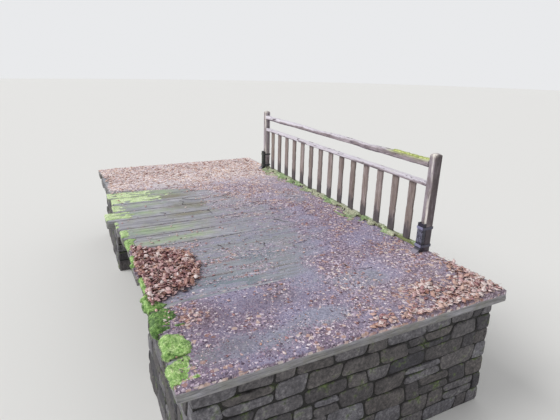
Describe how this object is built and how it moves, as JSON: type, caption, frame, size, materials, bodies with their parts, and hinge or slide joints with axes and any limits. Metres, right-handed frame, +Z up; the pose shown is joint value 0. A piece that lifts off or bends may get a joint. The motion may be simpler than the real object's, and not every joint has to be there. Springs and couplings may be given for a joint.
{
  "type": "wooden footbridge",
  "caption": "Weathered plank footbridge on log beams and rubble-stone abutments, with a paled railing along one side.",
  "frame": {"origin": "middle of the ground plan, level with the feet of the abutments", "axes": "+X along the way over the bridge, +Y towards the railing, +Z up"},
  "size_m": [5.462, 2.7742, 2.06],
  "materials": {
    "deck_timber": "wet weathered hardwood with moss and grit",
    "pale_timber": "weathered sawn softwood, damp and dark at the foot",
    "log_timber": "peeled log with hewn flats, damp",
    "rubble_stone": "damp rubble masonry",
    "post_timber": "weathered sawn softwood, wet and red-brown at the foot",
    "rail_timber": "bleached, worn softwood",
    "bracket_steel": "dulled galvanised steel with remains of dark paint"
  },
  "bodies": {
    "root": {"plank_01": "deck_timber", "plank_02": "deck_timber", "plank_03": "deck_timber", "plank_04": "deck_timber", "plank_05": "deck_timber", "plank_06": "deck_timber", "plank_07": "deck_timber", "plank_08": "deck_timber", "plank_09": "deck_timber", "plank_10": "deck_timber", "plank_11": "deck_timber", "plank_12": "deck_timber", "plank_13": "deck_timber", "plank_14": "deck_timber", "plank_15": "deck_timber", "plank_16": "deck_timber", "plank_17": "deck_timber", "plank_18": "deck_timber", "plank_19": "deck_timber", "pale_01": "pale_timber", "pale_02": "pale_timber", "pale_03": "pale_timber", "pale_04": "pale_timber", "pale_05": "pale_timber", "pale_06": "pale_timber", "pale_07": "pale_timber", "pale_08": "pale_timber", "pale_09": "pale_timber", "pale_10": "pale_timber", "pale_11": "pale_timber", "pale_12": "pale_timber", "pale_13": "pale_timber", "pale_14": "pale_timber", "log_left": "log_timber", "log_middle": "log_timber", "log_right": "log_timber", "abutment_far": "rubble_stone", "abutment_near": "rubble_stone", "post_far": "post_timber", "post_near": "post_timber", "top_rail": "rail_timber", "middle_rail": "rail_timber", "foot_rail": "rail_timber", "bracket_far": "bracket_steel", "bracket_near": "bracket_steel"}
  },
  "joints": []
}
